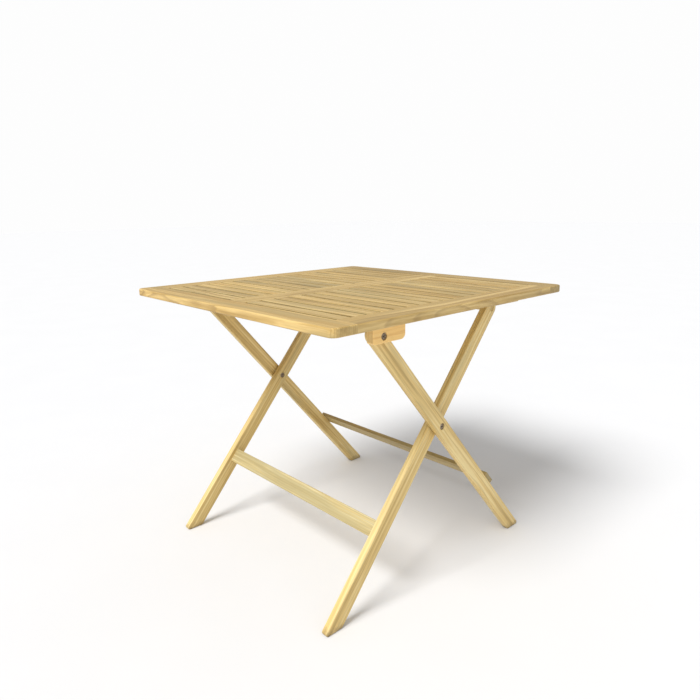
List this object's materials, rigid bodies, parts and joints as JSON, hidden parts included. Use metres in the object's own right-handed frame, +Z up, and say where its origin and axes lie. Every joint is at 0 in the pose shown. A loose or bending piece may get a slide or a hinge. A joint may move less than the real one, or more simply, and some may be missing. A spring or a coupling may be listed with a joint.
{
  "type": "folding table",
  "caption": "Square wooden folding dining table: slatted top on crossed leg frames, with bolted pivots, flat stretchers and a crossbar held in catches.",
  "frame": {"origin": "on the floor under the centre of the top", "axes": "+Z up; X along the slats and the stretchers; Y across the slats, in the planes of the crossed legs, with the hinged end of the top at -Y"},
  "size_m": [0.856, 0.856, 0.74],
  "materials": {
    "top_timber": "oiled hardwood, satin",
    "frame_timber": "oiled hardwood, satin",
    "fittings": "dull zinc, slightly tarnished"
  },
  "bodies": {
    "outer_frame": {"cross_bolts": "fittings", "cross_nuts": "fittings", "cross_washers": "fittings", "outer_leg_left": "frame_timber", "outer_leg_right": "frame_timber", "outer_stretcher": "frame_timber", "pivot_bolts": "fittings", "pivot_nuts": "fittings", "pivot_washers": "fittings", "stretcher_screws": "fittings"},
    "inner_frame": {"crossbar": "frame_timber", "inner_leg_left": "frame_timber", "inner_leg_right": "frame_timber", "inner_stretcher": "frame_timber"},
    "tabletop": {"back_rail": "top_timber", "catch_left": "frame_timber", "catch_right": "frame_timber", "centre_rail": "top_timber", "front_rail": "top_timber", "left_rail": "top_timber", "pivot_cleat_left": "frame_timber", "pivot_cleat_right": "frame_timber", "right_rail": "top_timber", "slat_left_01": "top_timber", "slat_left_02": "top_timber", "slat_left_03": "top_timber", "slat_left_04": "top_timber", "slat_left_05": "top_timber", "slat_left_06": "top_timber", "slat_left_07": "top_timber", "slat_left_08": "top_timber", "slat_left_09": "top_timber", "slat_left_10": "top_timber", "slat_left_11": "top_timber", "slat_left_12": "top_timber", "slat_left_13": "top_timber", "slat_left_14": "top_timber", "slat_left_15": "top_timber", "slat_left_16": "top_timber", "slat_left_17": "top_timber", "slat_right_01": "top_timber", "slat_right_02": "top_timber", "slat_right_03": "top_timber", "slat_right_04": "top_timber", "slat_right_05": "top_timber", "slat_right_06": "top_timber", "slat_right_07": "top_timber", "slat_right_08": "top_timber", "slat_right_09": "top_timber", "slat_right_10": "top_timber", "slat_right_11": "top_timber", "slat_right_12": "top_timber", "slat_right_13": "top_timber", "slat_right_14": "top_timber", "slat_right_15": "top_timber", "slat_right_16": "top_timber", "slat_right_17": "top_timber", "top_screws": "fittings"}
  },
  "joints": [
    {"name": "leg_fold", "type": "hinge", "parent": "outer_frame", "child": "inner_frame", "pos_m": [0, -0.006, 0.41648], "axis": [1, 0, 0], "range_deg": [0, 80]},
    {"name": "top_tilt", "type": "hinge", "parent": "outer_frame", "child": "tabletop", "pos_m": [0, -0.2385, 0.6887], "axis": [1, 0, 0], "range_deg": [0, 40]}
  ],
  "couplings": [
    {"joint": "top_tilt", "follows": "leg_fold", "ratio": 0.5}
  ]
}
